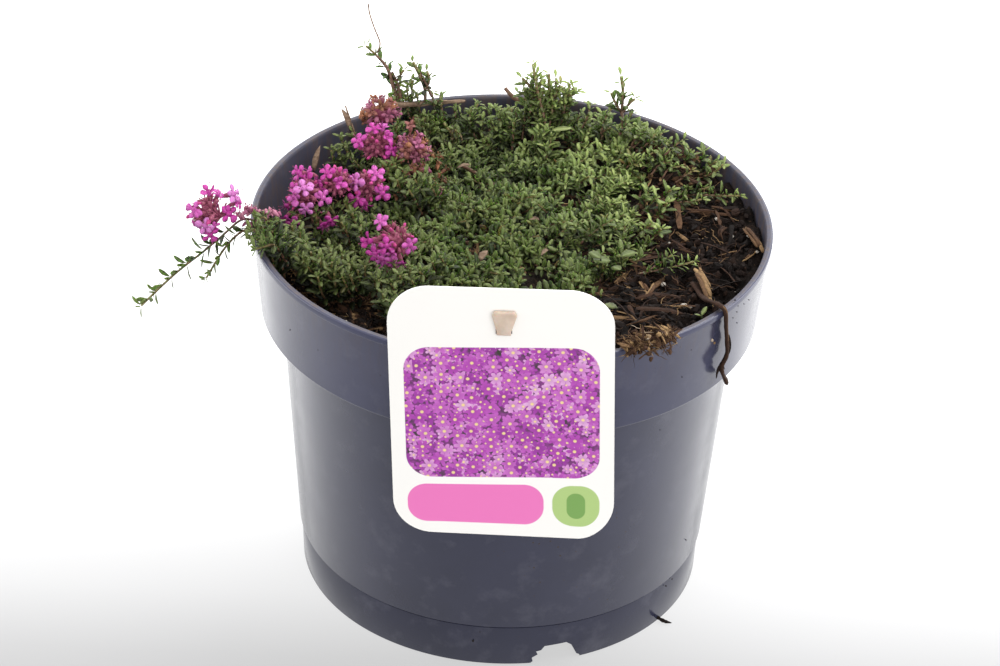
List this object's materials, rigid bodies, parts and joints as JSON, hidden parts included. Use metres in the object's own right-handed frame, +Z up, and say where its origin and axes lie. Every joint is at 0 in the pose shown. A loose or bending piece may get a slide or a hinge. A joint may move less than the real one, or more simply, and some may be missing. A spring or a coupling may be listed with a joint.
{
  "type": "potted creeping thyme",
  "caption": "Creeping thyme with pink flower heads in a round, collared plastic nursery pot, with a plain plant label hanging on a peg over the rim.",
  "frame": {"origin": "middle of the pot's underside, on the plane it stands on", "axes": "+Z up along the pot's axis, the label's printed side faces -Y, +X to the right of a person who faces the label"},
  "size_m": [0.2303, 0.1974, 0.177],
  "materials": {
    "pot_plastic": "satin moulded polypropylene, dark slate grey",
    "potting_mix": "damp, matt, fibrous peat",
    "label_card": "glossy printed sheet",
    "peg_plastic": "translucent beige plastic",
    "leaf": "waxy leaf, slightly glossy",
    "petal": "soft matt petal",
    "faded_flower": "dry, matt",
    "bark": "rough fibrous bark",
    "dry_stem": "dry woody stem"
  },
  "bodies": {
    "root": {"pot": "pot_plastic", "soil": "potting_mix", "label": "label_card", "label_peg": "peg_plastic", "thyme_mat": "leaf", "flower_head_rim": "petal", "flower_head_left_low": "petal", "flower_head_left_high": "petal", "flower_head_centre_left": "petal", "flower_head_back_left": "petal", "flower_head_front": "petal", "faded_head_back": "faded_flower", "faded_head_mid": "faded_flower", "runner_right_back": "leaf", "runner_right_front": "leaf", "runner_right_rim": "leaf", "bark_strip": "bark", "peat_clump": "bark", "dry_twig": "dry_stem"}
  },
  "joints": []
}
